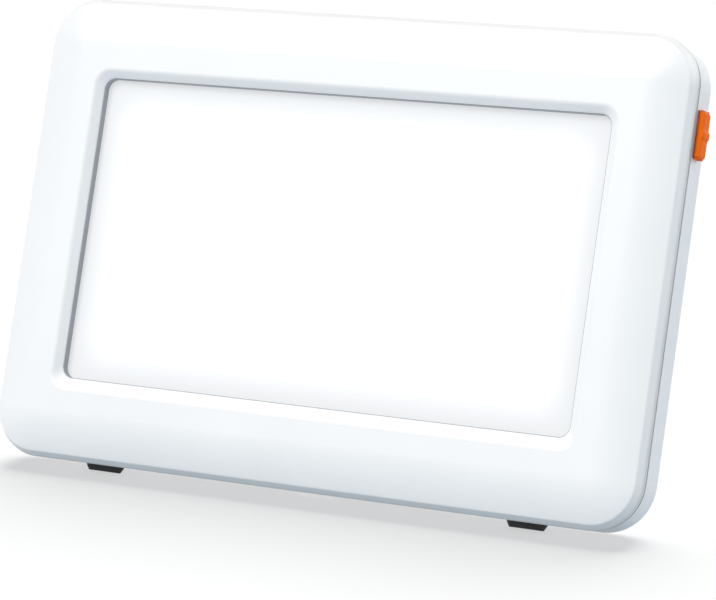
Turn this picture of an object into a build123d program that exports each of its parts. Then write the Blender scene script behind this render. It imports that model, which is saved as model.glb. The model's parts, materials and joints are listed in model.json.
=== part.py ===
from build123d import *
import os
from math import asin, atan2, cos, degrees, radians, sin, tan

os.makedirs("parts", exist_ok=True)

# Light therapy lamp: a flat lit panel that stands on two rubber feet and a fold-out leg.
# Millimetres. Every piece is drawn with the lamp upright: X to the right, Y from the lit face
# to the back, Z up the face, and the middle of the case outline on the face at the origin.
# The last section leans the lamp back on its leg, stands it on Z = 0 and writes the pieces.

# ---------------------------------------------------------------------------- driving sizes

# Window and the white border round it
WINDOW_WIDTH = 184.6
WINDOW_HEIGHT = 101.7
WINDOW_CORNER = 4.0
SIDE_BORDER = 25.2
TOP_BORDER = 27.4
BOTTOM_BORDER = 27.4
BEVEL_DEPTH = 2.2
BEVEL_SIDE = 2.6
BEVEL_TOP = 2.4
BEVEL_BOTTOM = 3.6
WINDOW_RECESS = 4.9

# Front bezel
CASE_CORNER = 16.5
CORNER_CORE = 2.5
CROWN_DROP = 3.6
EDGE_INSET = 1.9
EDGE_ROUND = 1.5
RIM_DEPTH = 7.1
RIM_ROUND = 2.5
BEZEL_DEPTH = 8.5
BACK_EDGE_INSET = 0.6
FACE_WALL = 2.6
WALL = 2.0
CAVITY_INSET = 8.0
RIB = 1.5

# Rear cover
PARTING_GAP = 0.8
REAR_INSET = 0.5
REAR_ROUND = 5.3
LIP_REACH = 2.0
LIP_WALL = 1.2
LIP_CLEARANCE = 0.15
ELECTRONICS_ROOM = 9.3
VENT_WIDTH = 2.0
VENT_HEIGHT = 10.0
VENT_PITCH = 6.0
VENT_FROM_NEST = 12.0
TOP_VENTS = 13
LOWER_VENTS = 4

# Optical stack, front to back
GASKET_THICK = 0.5
GASKET_WIDTH = 2.6
DIFFUSER_THICK = 2.0
GUIDE_THICK = 3.0
REFLECTOR_THICK = 0.3
SPREADER_THICK = 1.2
OPTIC_OVERLAP_SIDE = 3.7
OPTIC_OVERLAP_TOP = 3.15
CARRIER_WALL = 2.6
CARRIER_LEDGE = 1.1
CARRIER_CLEARANCE = 0.15
SPREADER_MARGIN = 0.7
SPREADER_BOSS_INSET = 15.4

# Light-emitting diodes along the top and bottom edges of the light guide
LED_COUNT = 24
LED_LENGTH = 3.5
LED_HEIGHT = 1.2
LED_GAP = 0.2
STRIP_THICK = 1.0
STRIP_WIDTH = 4.0
STRIP_END = 4.0

# Fastenings
POST_INSET = 11.0
POST_RADIUS = 3.5
CASE_BOSS_RADIUS = 4.5
CASE_SCREW_RADIUS = 1.25
CASE_HEAD_RADIUS = 2.9
CASE_HEAD_HEIGHT = 2.2
HEAD_RECESS = 4.0
SEAT_THICK = 2.0
SMALL_BOSS_RADIUS = 3.0
SMALL_SCREW_RADIUS = 1.0
SMALL_HEAD_RADIUS = 2.1
SMALL_HEAD_HEIGHT = 1.5
HEAD_ROUND = 0.4  # as a share of the head's height
CROSS_LENGTH = 1.1  # as a share of the head's radius
CROSS_WIDTH = 0.3  # as a share of the head's radius
SCREW_CLEARANCE = 0.3
BOSS_CLEARANCE = 0.2

# Driver board in the right half of the case. Places on it are across and up from its middle.
BOARD_WIDTH = 52.0
BOARD_HEIGHT = 44.0
BOARD_THICK = 1.6
BOARD_FROM_SIDE = 44.5
BOARD_DROP = 18.0
BOARD_HOLE_INSET = 4.0
PART_HEIGHT = 4.0
PART_CLEARANCE = 0.7
SHEET_THICK = 0.3
SHEET_MARGIN = 4.0
INDUCTOR_ACROSS = -13.0
INDUCTOR_UP = 3.5
INDUCTOR_RADIUS = 5.0
INDUCTOR_CORE = 3.0
INDUCTOR_FLANGE = 0.8
CAPACITOR_ACROSS = 14.5
CAPACITORS_UP = (-7.0, 1.8)
CAPACITOR_RADIUS = 3.1
CAPACITOR_ROUND = 0.4
CAPACITOR_GROOVE = 0.3
CAPACITOR_GROOVE_LIFT = 1.0
CHIP_THICK = 1.5
CHIPS = [(0.0, 9.7, 5.0, 6.2), (2.1, -5.3, 5.0, 4.4), (-15.6, -10.6, 6.5, 6.0)]
PLUG_WIDTH = 6.4
PLUG_HEIGHT = 5.0
PLUG_EDGE = 0.8
LED_PLUG_ACROSS = -5.2
POWER_PLUG_ACROSS = 10.4
SWITCH_PLUG_ACROSS = 13.5
LEAD_RADIUS = 0.6
LEAD_BEND = 2.5
LEAD_PITCH = 1.6
LEAD_HOLE_CLEARANCE = 0.5

# Direct-current inlet in the back
INLET_FROM_SIDE = 42.5
INLET_FROM_BOTTOM = 24.0
INLET_BORE = 3.2
INLET_PIN_RADIUS = 1.05
INLET_PIN_REACH = 8.2
INLET_PIN_CHAMFER = 0.25
INLET_ROOT_RADIUS = 0.8
INLET_DEPTH = 9.1
INLET_BASE = 1.2
INLET_NECK = 4.0
INLET_FLANGE = 5.5
INLET_FLANGE_THICK = 1.1
NUT_FLATS = 11.0
NUT_THICK = 2.0
INLET_PAD = 8.0
INLET_CHAMFER = 0.4
TAG_WIDTH = 2.0
TAG_THICK = 0.4
TAG_REACH = 3.0
TAG_PITCH = 3.2
POWER_LEAD_BENDS = (0.4, 0.7)  # as shares of the way from the tags to the plug
FIT = 0.1

# Slide switch in the right side
SWITCH_FROM_TOP = 30.45
KNOB_LENGTH = 15.4
KNOB_DEPTH = 5.8
KNOB_PROUD = 2.2
KNOB_ROUND = 0.6
KNOB_RIB = 0.5
KNOB_RIB_LENGTH = 2.6
KNOB_RIB_ROUND = 0.4
KNOB_FROM_PARTING = 0.2
SWITCH_TRAVEL = 3.0
STEM_LENGTH = 4.0
STEM_DEPTH = 2.6
RUNNING_GAP = 0.3
SWITCH_CAN_LENGTH = 13.0
SWITCH_CAN_DEPTH = 5.0
SWITCH_CAN_WIDTH = 6.6
SWITCH_CAN_FROM_WALL = 3.2
SLIDER_LENGTH = 3.0
SLIDER_DEPTH = 1.8
SLIDER_ROOTED = 2.2
SLIDER_SHOWING = 0.7
SWITCH_BOARD_LENGTH = 26.0
SWITCH_BOARD_WIDTH = 14.0
SWITCH_BOARD_PROUD = 1.0

# Rubber feet
FOOT_LENGTH = 13.6
FOOT_DEPTH = 7.0
FOOT_THICK = 2.15
FOOT_TAPER = 0.8
FOOT_FROM_SIDE = 40.2
FOOT_SOLE = 2.8
PEG_RADIUS = 1.8
PEG_HEAD = 0.5

# Fold-out leg and its hinge
LEAN = 17.9
LEG_SPLAY = 9.0
LEG_WIDTH = 62.4
LEG_THICK = 4.2
LEG_CORNER = 9.0
LEG_EDGE = 0.8
LEG_SKIN = 1.8
LEG_RIB = 1.8
LEG_BAYS = 3
LEG_BELOW_TOP = 33.0
LEG_SINK = 0.4
HEEL_REACH = 6.0
HINGE_PIN_RADIUS = 1.0
HINGE_RUNNING = 0.05
WASHER_THICK = 0.5
WASHER_RADIUS = 1.9
NEST_FLOOR_GAP = 0.6
NEST_END_GAP = 0.7
NEST_WALL = 1.8
CHEEK_THICK = 4.0
CHEEK_HEIGHT = 10.0
PIN_IN_CHEEK = 2.7
PIN_IN_LEG = 11.0
PIN_HOLE_SPARE = 0.3
SET_SCREW_INSET = 5.5
SET_SCREW_FLATS = 0.9
SHOE_WIDTH = 46.0
SHOE_HEIGHT = 8.0
TONGUE_THICK = 2.0
TONGUE_HEIGHT = 5.0
STOP_GAP = 0.25
SCOOP_RADIUS = 11.5
SCOOP_BELOW = 5.75

# ------------------------------------------------------------------------- worked-out sizes

CASE_WIDTH = WINDOW_WIDTH + 2 * SIDE_BORDER
CASE_HEIGHT = WINDOW_HEIGHT + TOP_BORDER + BOTTOM_BORDER
WINDOW_RISE = (BOTTOM_BORDER - TOP_BORDER) / 2
CROWN_WIDTH = CASE_CORNER - CORNER_CORE

OPTIC_WIDTH = WINDOW_WIDTH + 2 * OPTIC_OVERLAP_SIDE
OPTIC_HEIGHT = WINDOW_HEIGHT + 2 * OPTIC_OVERLAP_TOP
GUIDE_FRONT = WINDOW_RECESS + DIFFUSER_THICK
GUIDE_BACK = GUIDE_FRONT + GUIDE_THICK
SPREADER_FRONT = GUIDE_BACK + REFLECTOR_THICK
SPREADER_BACK = SPREADER_FRONT + SPREADER_THICK
STRIP_REACH = LED_GAP + LED_HEIGHT + STRIP_THICK
CARRIER_WIDTH = OPTIC_WIDTH + 2 * (CARRIER_CLEARANCE + CARRIER_WALL)
CARRIER_HEIGHT = OPTIC_HEIGHT + 2 * (STRIP_REACH + CARRIER_WALL)
STRIP_LENGTH = OPTIC_WIDTH - 2 * STRIP_END

COVER_FRONT = BEZEL_DEPTH + PARTING_GAP
COVER_INSIDE = SPREADER_BACK + ELECTRONICS_ROOM
CASE_DEPTH = COVER_INSIDE + WALL
BOSS_ROOT = COVER_INSIDE + WALL / 2
SIDE = CASE_WIDTH / 2 - REAR_INSET
BOTTOM = -CASE_HEIGHT / 2 + REAR_INSET

POST_X = CASE_WIDTH / 2 - POST_INSET
POST_Z = CASE_HEIGHT / 2 - POST_INSET
CASE_POSTS = [(side * POST_X, row * POST_Z) for side in (-1, 1) for row in (-1, 0, 1)]
POST_END = CASE_DEPTH - HEAD_RECESS - SEAT_THICK
SCREW_SEAT = CASE_DEPTH - HEAD_RECESS
SMALL_BOSS_Z = CARRIER_HEIGHT / 2 + CARRIER_CLEARANCE + RIB + SMALL_BOSS_RADIUS + BOSS_CLEARANCE
SPREADER_BOSSES = [(column * (OPTIC_WIDTH / 2 - SPREADER_BOSS_INSET),
                    WINDOW_RISE + row * SMALL_BOSS_Z)
                   for column in (-1, 0, 1) for row in (-1, 1)]
SPREADER_WIDTH = CARRIER_WIDTH + 2 * SPREADER_MARGIN
SPREADER_HEIGHT = 2 * (SMALL_BOSS_Z + SMALL_BOSS_RADIUS + SPREADER_MARGIN)

BOARD_X = CASE_WIDTH / 2 - BOARD_FROM_SIDE
BOARD_Z = -BOARD_DROP
BOARD_FRONT = SPREADER_BACK + SHEET_THICK + PART_CLEARANCE + PART_HEIGHT
BOARD_BACK = BOARD_FRONT + BOARD_THICK
BOARD_HOLES = [(BOARD_X + column * (BOARD_WIDTH / 2 - BOARD_HOLE_INSET),
                BOARD_Z + row * (BOARD_HEIGHT / 2 - BOARD_HOLE_INSET))
               for column in (-1, 1) for row in (-1, 1)]
LEAD_DEPTH = BOARD_FRONT - PART_HEIGHT / 2
INDUCTOR = (BOARD_X + INDUCTOR_ACROSS, BOARD_Z + INDUCTOR_UP)
CAPACITORS = [(BOARD_X + CAPACITOR_ACROSS, BOARD_Z + up) for up in CAPACITORS_UP]
LED_PLUG_X = BOARD_X + LED_PLUG_ACROSS
POWER_PLUG_X = BOARD_X + POWER_PLUG_ACROSS
SWITCH_PLUG_X = BOARD_X + SWITCH_PLUG_ACROSS
PLUGS = [(LED_PLUG_X, 1), (LED_PLUG_X, -1), (POWER_PLUG_X, -1), (SWITCH_PLUG_X, 1)]

INLET_X = CASE_WIDTH / 2 - INLET_FROM_SIDE
INLET_Z = -CASE_HEIGHT / 2 + INLET_FROM_BOTTOM
INLET_SEAT = CASE_DEPTH - INLET_FLANGE_THICK - FIT
INLET_MOUTH = CASE_DEPTH - FIT
INLET_FLOOR = INLET_MOUTH - INLET_DEPTH
INLET_FRONT = INLET_FLOOR - INLET_BASE
PAD_FRONT = INLET_SEAT - WALL
TAG_DEPTH = INLET_FLOOR - INLET_BASE / 2

SWITCH_Z = CASE_HEIGHT / 2 - SWITCH_FROM_TOP
KNOB_FRONT = COVER_FRONT + KNOB_FROM_PARTING
KNOB_MID = KNOB_FRONT + KNOB_DEPTH / 2
KNOB_INSIDE = SIDE + RUNNING_GAP
SWITCH_CAN_RIGHT = SIDE - WALL - SWITCH_CAN_FROM_WALL
SWITCH_CAN_BACK = KNOB_MID + SWITCH_CAN_DEPTH / 2
SLIDER_ROOT = SWITCH_CAN_RIGHT - SLIDER_ROOTED
STEM_END = SWITCH_CAN_RIGHT + SLIDER_SHOWING
SWITCH_BOARD_BACK = SWITCH_CAN_BACK + BOARD_THICK
SWITCH_BOARD_X = SWITCH_CAN_RIGHT + SWITCH_BOARD_PROUD - SWITCH_BOARD_WIDTH / 2
SWITCH_HOLES = [(SWITCH_BOARD_X, SWITCH_Z + row * (SWITCH_BOARD_LENGTH / 2 - SMALL_BOSS_RADIUS))
                for row in (-1, 1)]

FOOT_BACK = CASE_DEPTH - REAR_ROUND
FOOT_Y = FOOT_BACK - FOOT_DEPTH / 2
FOOT_BASE = BOTTOM - FOOT_THICK
FOOT_SPREAD = CASE_WIDTH / 2 - FOOT_FROM_SIDE

HINGE_Y = CASE_DEPTH - LEG_SINK - LEG_THICK / 2
HINGE_Z = CASE_HEIGHT / 2 - LEG_BELOW_TOP
LEG_FRONT = HINGE_Y - LEG_THICK / 2
LEG_BACK = HINGE_Y + LEG_THICK / 2
NEST_FLOOR = LEG_FRONT - NEST_FLOOR_GAP
NEST_WIDTH = LEG_WIDTH + 2 * (WASHER_THICK + RUNNING_GAP)
NEST_TOP = HINGE_Z + (HEEL_REACH ** 2 + (LEG_THICK / 2) ** 2) ** 0.5 + NEST_END_GAP
CHEEK_FACE = NEST_WIDTH / 2 + CHEEK_THICK
PIN_OUTER = NEST_WIDTH / 2 + PIN_IN_CHEEK
PIN_INNER = LEG_WIDTH / 2 - PIN_IN_LEG
SET_SCREWS = [side * (LEG_WIDTH / 2 - SET_SCREW_INSET) for side in (-1, 1)]


def leaned(depth, height):
    """Y and Z of a point of the upright lamp once the lamp leans back by LEAN."""
    lean = radians(LEAN)
    return depth * cos(lean) + height * sin(lean), height * cos(lean) - depth * sin(lean)


# The feet touch the table with a sole that is cut parallel to it. The leg reaches the same
# table, so its length follows from its splay from upright and from the height of its hinge.
SOLE_FRONT = FOOT_BACK - FOOT_SOLE
TABLE = leaned(SOLE_FRONT, FOOT_BASE)[1]
HINGE_ABOVE_TABLE = leaned(HINGE_Y, HINGE_Z)[1] - TABLE
LEG_LENGTH = HINGE_ABOVE_TABLE / cos(radians(LEG_SPLAY))
LEG_OPEN = LEAN + LEG_SPLAY
LEG_TIP = LEG_LENGTH + LEG_THICK / 2 * tan(radians(LEG_SPLAY))
NEST_BOTTOM = HINGE_Z - LEG_TIP - NEST_END_GAP


# ---------------------------------------------------------------------------------- helpers

def slab(outline, front, back):
    """An outline, drawn in X and Z as seen from the front, as thick as from front to back."""
    return extrude(Plane.XZ.offset(-back) * outline, amount=back - front)


def rod(x, z, radius, front, back):
    """A round bar along Y."""
    return slab(Pos(x, z) * Circle(radius), front, back)


def block(x_range, y_range, z_range):
    """A plain box between two corners."""
    size = [high - low for low, high in (x_range, y_range, z_range)]
    middle = [(high + low) / 2 for low, high in (x_range, y_range, z_range)]
    return Pos(*middle) * Box(*size)


def on_hinge(radius, inner, outer):
    """Two round bars along X on the hinge line of the leg, one on each side."""
    bar = Rot(0, 90, 0) * Cylinder(radius, outer - inner)
    return [Pos(side * (inner + outer) / 2, HINGE_Y, HINGE_Z) * bar for side in (-1, 1)]


def pan_screw(radius, length, head_radius, head_height):
    """A cross-head screw: seat on the XY plane, head up, shank down."""
    screw = Pos(0, 0, head_height / 2) * Cylinder(head_radius, head_height)
    screw = fillet(screw.edges().sort_by(Axis.Z)[-1], head_height * HEAD_ROUND)
    screw += Pos(0, 0, -length / 2) * Cylinder(radius, length)
    slot = Pos(0, 0, head_height) * Box(head_radius * CROSS_LENGTH, head_radius * CROSS_WIDTH,
                                          head_height)
    return screw - slot - Rot(0, 0, 90) * slot


def head_back(x, seat, z):
    """Place of a screw whose head faces the back of the lamp."""
    return Pos(x, seat, z) * Rot(-90, 0, 0)


def head_front(x, seat, z):
    """Place of a screw whose head faces the front of the lamp."""
    return Pos(x, seat, z) * Rot(90, 0, 0)


def case_outline(inset=0.0):
    return RectangleRounded(CASE_WIDTH - 2 * inset, CASE_HEIGHT - 2 * inset, CASE_CORNER - inset)


def window_outline(grow=0.0):
    outline = RectangleRounded(WINDOW_WIDTH + 2 * grow, WINDOW_HEIGHT + 2 * grow,
                               WINDOW_CORNER + grow)
    return Pos(0, WINDOW_RISE) * outline


def optic_outline(side=0.0, top=0.0):
    return Pos(0, WINDOW_RISE) * Rectangle(OPTIC_WIDTH + 2 * side, OPTIC_HEIGHT + 2 * top)


def carrier_outline(grow=0.0):
    outline = RectangleRounded(CARRIER_WIDTH + 2 * grow, CARRIER_HEIGHT + 2 * grow,
                               CARRIER_WALL + grow)
    return Pos(0, WINDOW_RISE) * outline


# ------------------------------------------------------------------------------ front bezel

def border_section():
    """Section of the bezel's border. X is 0 at the rim and negative inwards, Y is the depth.

    The face falls in a shallow arc to a tight edge. From there the side runs out to the rim,
    which is the widest place, and then a little way in again to the parting line.
    """
    run = CROWN_WIDTH - EDGE_INSET
    crown_radius = (run ** 2 + CROWN_DROP ** 2) / (2 * CROWN_DROP)
    half_slope = asin(run / crown_radius) / 2
    middle = (crown_radius * sin(half_slope) - CROWN_WIDTH, crown_radius * (1 - cos(half_slope)))
    flat_end, edge, rim = (-CROWN_WIDTH, 0), (-EDGE_INSET, CROWN_DROP), (0, RIM_DEPTH)
    sides = Polyline(edge, rim, (-BACK_EDGE_INSET, BEZEL_DEPTH), (-CROWN_WIDTH, BEZEL_DEPTH),
                     flat_end)
    section = make_face(ThreePointArc(flat_end, middle, edge) + sides)
    for corner, radius in ((edge, EDGE_ROUND), (rim, RIM_ROUND)):
        section = fillet(section.vertices().sort_by_distance(corner)[0], radius)
    return section


def bezel_form():
    """The solid outer form of the bezel, before it is hollowed."""
    half_width, half_height = CASE_WIDTH / 2, CASE_HEIGHT / 2
    path = Plane.XZ * FilletPolyline((0, -half_height), (half_width, -half_height),
                                     (half_width, half_height), (0, half_height),
                                     radius=CASE_CORNER)
    start = Plane(origin=(0, 0, -half_height), x_dir=(0, 0, -1), z_dir=(1, 0, 0))
    border = sweep(start * border_section(), path=path)
    border += mirror(border, about=Plane.YZ)
    return border + slab(case_outline(CROWN_WIDTH), 0, BEZEL_DEPTH)


def bezel_cavity():
    """The hollow of the bezel: it widens from behind the crown to where the cover's lip enters."""
    lip_front = BEZEL_DEPTH - LIP_REACH
    narrow = Plane.XZ.offset(-FACE_WALL) * case_outline(CAVITY_INSET)
    wide = Plane.XZ.offset(-lip_front) * case_outline(WALL)
    return loft([narrow.face(), wide.face()], ruled=True) + slab(case_outline(WALL), lip_front,
                                                                 BEZEL_DEPTH)


def front_bezel():
    bezel = bezel_form() - bezel_cavity()
    bezel += slab(window_outline(RIB), FACE_WALL, WINDOW_RECESS - GASKET_THICK)
    inner_rib, outer_rib = CARRIER_CLEARANCE, CARRIER_CLEARANCE + RIB
    bezel += slab(carrier_outline(outer_rib) - carrier_outline(inner_rib),
                  FACE_WALL, GUIDE_FRONT)
    for x, z in CASE_POSTS:
        bezel += rod(x, z, POST_RADIUS, FACE_WALL, POST_END)
    for x, z in CASE_POSTS:
        bezel -= rod(x, z, CASE_SCREW_RADIUS, BEZEL_DEPTH, POST_END)
    for x, z in SPREADER_BOSSES:
        bezel += rod(x, z, SMALL_BOSS_RADIUS, FACE_WALL, SPREADER_FRONT)
    for x, z in SPREADER_BOSSES:
        bezel -= rod(x, z, SMALL_SCREW_RADIUS, WINDOW_RECESS, SPREADER_FRONT)
    bezel -= slab(window_outline(), 0, WINDOW_RECESS)
    return bezel - window_bevel()


def window_bevel():
    """The slanted edge round the window, as the wedge that is cut away for it."""
    width = WINDOW_WIDTH + 2 * BEVEL_SIDE
    height = WINDOW_HEIGHT + BEVEL_TOP + BEVEL_BOTTOM
    rise = WINDOW_RISE + (BEVEL_TOP - BEVEL_BOTTOM) / 2
    wide = Plane.XZ * Pos(0, rise) * RectangleRounded(width, height, WINDOW_CORNER + BEVEL_SIDE / 2)
    narrow = Plane.XZ.offset(-BEVEL_DEPTH) * window_outline()
    return loft([wide.face(), narrow.face()], ruled=True)


# ---------------------------------------------------------------------------- optical stack

def window_gasket():
    return slab(window_outline(GASKET_WIDTH) - window_outline(),
                WINDOW_RECESS - GASKET_THICK, WINDOW_RECESS)


def diffuser_panel():
    return slab(optic_outline(), WINDOW_RECESS, GUIDE_FRONT)


def light_guide():
    return slab(optic_outline(), GUIDE_FRONT, GUIDE_BACK)


def reflector_sheet():
    return slab(optic_outline(), GUIDE_BACK, SPREADER_FRONT)


def carrier_frame():
    """Frame that holds the stack: a front ledge round the diffuser, wider behind it."""
    ledge_back = WINDOW_RECESS + CARRIER_LEDGE
    ledge_opening = optic_outline(CARRIER_CLEARANCE, CARRIER_CLEARANCE)
    strip_opening = optic_outline(CARRIER_CLEARANCE, STRIP_REACH)
    frame = slab(carrier_outline() - ledge_opening, WINDOW_RECESS, ledge_back)
    return frame + slab(carrier_outline() - strip_opening, ledge_back, SPREADER_FRONT)


def led_strip(row):
    """Narrow board behind the diodes of the top (1) or bottom (-1) edge."""
    near = OPTIC_HEIGHT / 2 + LED_GAP + LED_HEIGHT
    middle = WINDOW_RISE + row * (near + STRIP_THICK / 2)
    return slab(Pos(0, middle) * Rectangle(STRIP_LENGTH, STRIP_THICK),
                SPREADER_FRONT - STRIP_WIDTH, SPREADER_FRONT)


def leds(row):
    """The diodes of one strip, each against the board and facing the light guide."""
    pitch = STRIP_LENGTH / LED_COUNT
    middle = WINDOW_RISE + row * (OPTIC_HEIGHT / 2 + LED_GAP + LED_HEIGHT / 2)
    columns = [(index - (LED_COUNT - 1) / 2) * pitch for index in range(LED_COUNT)]
    return [slab(Pos(x, middle) * Rectangle(LED_LENGTH, LED_HEIGHT), GUIDE_FRONT, GUIDE_BACK)
            for x in columns]


def lead_hole(row):
    """Where the leads of a strip pass through the heat spreader, as x and z."""
    middle = OPTIC_HEIGHT / 2 + LED_GAP + LED_HEIGHT + STRIP_THICK / 2
    return LED_PLUG_X, WINDOW_RISE + row * middle


def heat_spreader():
    outline = RectangleRounded(SPREADER_WIDTH, SPREADER_HEIGHT, SMALL_BOSS_RADIUS)
    plate = slab(Pos(0, WINDOW_RISE) * outline, SPREADER_FRONT, SPREADER_BACK)
    for x, z in SPREADER_BOSSES:
        plate -= rod(x, z, SMALL_SCREW_RADIUS + SCREW_CLEARANCE, SPREADER_FRONT, SPREADER_BACK)
    for row in (-1, 1):
        x, z = lead_hole(row)
        hole_height = 2 * (LEAD_RADIUS + LEAD_HOLE_CLEARANCE)
        hole = Pos(x, z) * SlotOverall(LEAD_PITCH + hole_height, hole_height)
        plate -= slab(hole, SPREADER_FRONT, SPREADER_BACK)
    return plate


def spreader_screws():
    length = SPREADER_BACK - WINDOW_RECESS - BOSS_CLEARANCE
    screw = pan_screw(SMALL_SCREW_RADIUS, length, SMALL_HEAD_RADIUS, SMALL_HEAD_HEIGHT)
    return [head_back(x, SPREADER_BACK, z) * screw for x, z in SPREADER_BOSSES]


# ------------------------------------------------------------------------------- rear cover

def cover_form(inset, back, corner):
    """Outer or inner form of the rear cover, with its rounded back edge."""
    form = slab(case_outline(inset), COVER_FRONT, back)
    return fillet(form.edges().group_by(Axis.Y)[-1], corner)


def vent_slots():
    """Upright slots over the leg's nest, and a short row on each side of it low down."""
    top_row = (NEST_TOP + CASE_HEIGHT / 2 - REAR_INSET - REAR_ROUND) / 2 + NEST_WALL / 2
    low_row = BOTTOM + REAR_ROUND + VENT_HEIGHT / 2 + VENT_WIDTH
    places = [((index - (TOP_VENTS - 1) / 2) * VENT_PITCH, top_row) for index in range(TOP_VENTS)]
    for side in (-1, 1):
        first = NEST_WIDTH / 2 + VENT_FROM_NEST
        places += [(side * (first + index * VENT_PITCH), low_row) for index in range(LOWER_VENTS)]
    slot = Rot(0, 0, 90) * SlotOverall(VENT_HEIGHT, VENT_WIDTH)
    return [slab(Pos(x, z) * slot, COVER_INSIDE, CASE_DEPTH) for x, z in places]


def switch_slot():
    """Opening in the side wall that the switch knob's stem slides in."""
    low = SWITCH_Z - SWITCH_TRAVEL - STEM_LENGTH / 2 - RUNNING_GAP
    high = SWITCH_Z + STEM_LENGTH / 2 + RUNNING_GAP
    half_depth = STEM_DEPTH / 2 + RUNNING_GAP
    return block((SIDE - 2 * WALL, SIDE + WALL), (KNOB_MID - half_depth, KNOB_MID + half_depth),
                 (low, high))


def rear_cover():
    outer = cover_form(REAR_INSET, CASE_DEPTH, REAR_ROUND)
    cover = outer - cover_form(REAR_INSET + WALL, COVER_INSIDE, REAR_ROUND - WALL)
    lip_inset = WALL + LIP_CLEARANCE
    lip = case_outline(lip_inset) - case_outline(lip_inset + LIP_WALL)
    cover += slab(lip, BEZEL_DEPTH - LIP_REACH, COVER_FRONT + LIP_REACH)

    # nest of the leg, with a cheek on each side that carries the hinge pin
    nest_middle, nest_height = (NEST_TOP + NEST_BOTTOM) / 2, NEST_TOP - NEST_BOTTOM
    nest = Pos(0, nest_middle) * RectangleRounded(NEST_WIDTH, nest_height, WALL)
    shell = Pos(0, nest_middle) * Rectangle(NEST_WIDTH + 2 * NEST_WALL, nest_height + 2 * NEST_WALL)
    inside = slab(shell, NEST_FLOOR - NEST_WALL, BOSS_ROOT)
    inside += block((-CHEEK_FACE, CHEEK_FACE), (NEST_FLOOR - NEST_WALL, BOSS_ROOT),
                    (HINGE_Z - CHEEK_HEIGHT / 2, HINGE_Z + CHEEK_HEIGHT / 2))

    # bosses for the case screws, the two boards and the inlet
    for x, z in CASE_POSTS:
        inside += rod(x, z, CASE_BOSS_RADIUS, POST_END, BOSS_ROOT)
    for x, z in BOARD_HOLES:
        inside += rod(x, z, SMALL_BOSS_RADIUS, BOARD_BACK, BOSS_ROOT)
    for x, z in SWITCH_HOLES:
        inside += rod(x, z, SMALL_BOSS_RADIUS, SWITCH_BOARD_BACK, BOSS_ROOT)
    inside += rod(INLET_X, INLET_Z, INLET_PAD, PAD_FRONT, BOSS_ROOT)
    cover += inside & outer

    # what is cut away
    cover -= slab(nest, NEST_FLOOR, CASE_DEPTH)
    cover -= rod(0, BOTTOM - SCOOP_BELOW, SCOOP_RADIUS, NEST_FLOOR, CASE_DEPTH)
    for hole in on_hinge(HINGE_PIN_RADIUS + HINGE_RUNNING, NEST_WIDTH / 2,
                         PIN_OUTER + PIN_HOLE_SPARE):
        cover -= hole
    for x, z in CASE_POSTS:
        cover -= rod(x, z, CASE_HEAD_RADIUS + SCREW_CLEARANCE, SCREW_SEAT, CASE_DEPTH)
        cover -= rod(x, z, CASE_SCREW_RADIUS + SCREW_CLEARANCE, POST_END, SCREW_SEAT)
    for x, z in BOARD_HOLES:
        cover -= rod(x, z, SMALL_SCREW_RADIUS, BOARD_BACK, COVER_INSIDE)
    for x, z in SWITCH_HOLES:
        cover -= rod(x, z, SMALL_SCREW_RADIUS, SWITCH_BOARD_BACK, COVER_INSIDE)
    cover -= rod(INLET_X, INLET_Z, INLET_FLANGE + FIT, INLET_SEAT, CASE_DEPTH)
    cover -= rod(INLET_X, INLET_Z, INLET_NECK + FIT, PAD_FRONT, INLET_SEAT)
    for side in (-1, 1):
        cover -= peg_hole(side)
    for slot in vent_slots():
        cover -= slot
    return cover - switch_slot()


def case_screws():
    length = SCREW_SEAT - BEZEL_DEPTH - SCREW_CLEARANCE
    screw = pan_screw(CASE_SCREW_RADIUS, length, CASE_HEAD_RADIUS, CASE_HEAD_HEIGHT)
    return [head_back(x, SCREW_SEAT, z) * screw for x, z in CASE_POSTS]


# ------------------------------------------------------------------------------------- feet

def peg_hole(side):
    return Pos(side * FOOT_SPREAD, FOOT_Y, BOTTOM + WALL / 2) * Cylinder(PEG_RADIUS, WALL)


def foot(side):
    """A rubber foot: a tapered pad, with a sole parallel to the table and a mushroom peg."""
    flat = SlotOverall(FOOT_LENGTH, FOOT_DEPTH)
    taper = degrees(atan2(FOOT_TAPER, FOOT_THICK))
    pad = extrude(Rot(180, 0, 0) * flat, amount=FOOT_THICK, taper=taper)
    pad += Pos(0, 0, WALL / 2) * Cylinder(PEG_RADIUS, WALL)
    pad += Pos(0, 0, WALL + PEG_HEAD) * Cylinder(PEG_RADIUS + PEG_HEAD, 2 * PEG_HEAD)
    # everything below the table is cut off, which leaves the sole
    below = Pos(0, SOLE_FRONT - FOOT_Y, -FOOT_THICK) * Rot(LEAN, 0, 0)
    below *= Pos(0, 0, -FOOT_THICK) * Box(2 * FOOT_LENGTH, 4 * FOOT_DEPTH, 2 * FOOT_THICK)
    return Pos(side * FOOT_SPREAD, FOOT_Y, BOTTOM) * (pad - below)


# ----------------------------------------------------------------------------- driver board

def insulator_sheet():
    outline = Rectangle(BOARD_WIDTH + 2 * SHEET_MARGIN, BOARD_HEIGHT + 2 * SHEET_MARGIN)
    return slab(Pos(BOARD_X, BOARD_Z) * outline, SPREADER_BACK, SPREADER_BACK + SHEET_THICK)


def driver_board():
    board = slab(Pos(BOARD_X, BOARD_Z) * RectangleRounded(BOARD_WIDTH, BOARD_HEIGHT, WALL),
                 BOARD_FRONT, BOARD_BACK)
    for x, z in BOARD_HOLES:
        board -= rod(x, z, SMALL_SCREW_RADIUS + SCREW_CLEARANCE, BOARD_FRONT, BOARD_BACK)
    return board


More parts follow.
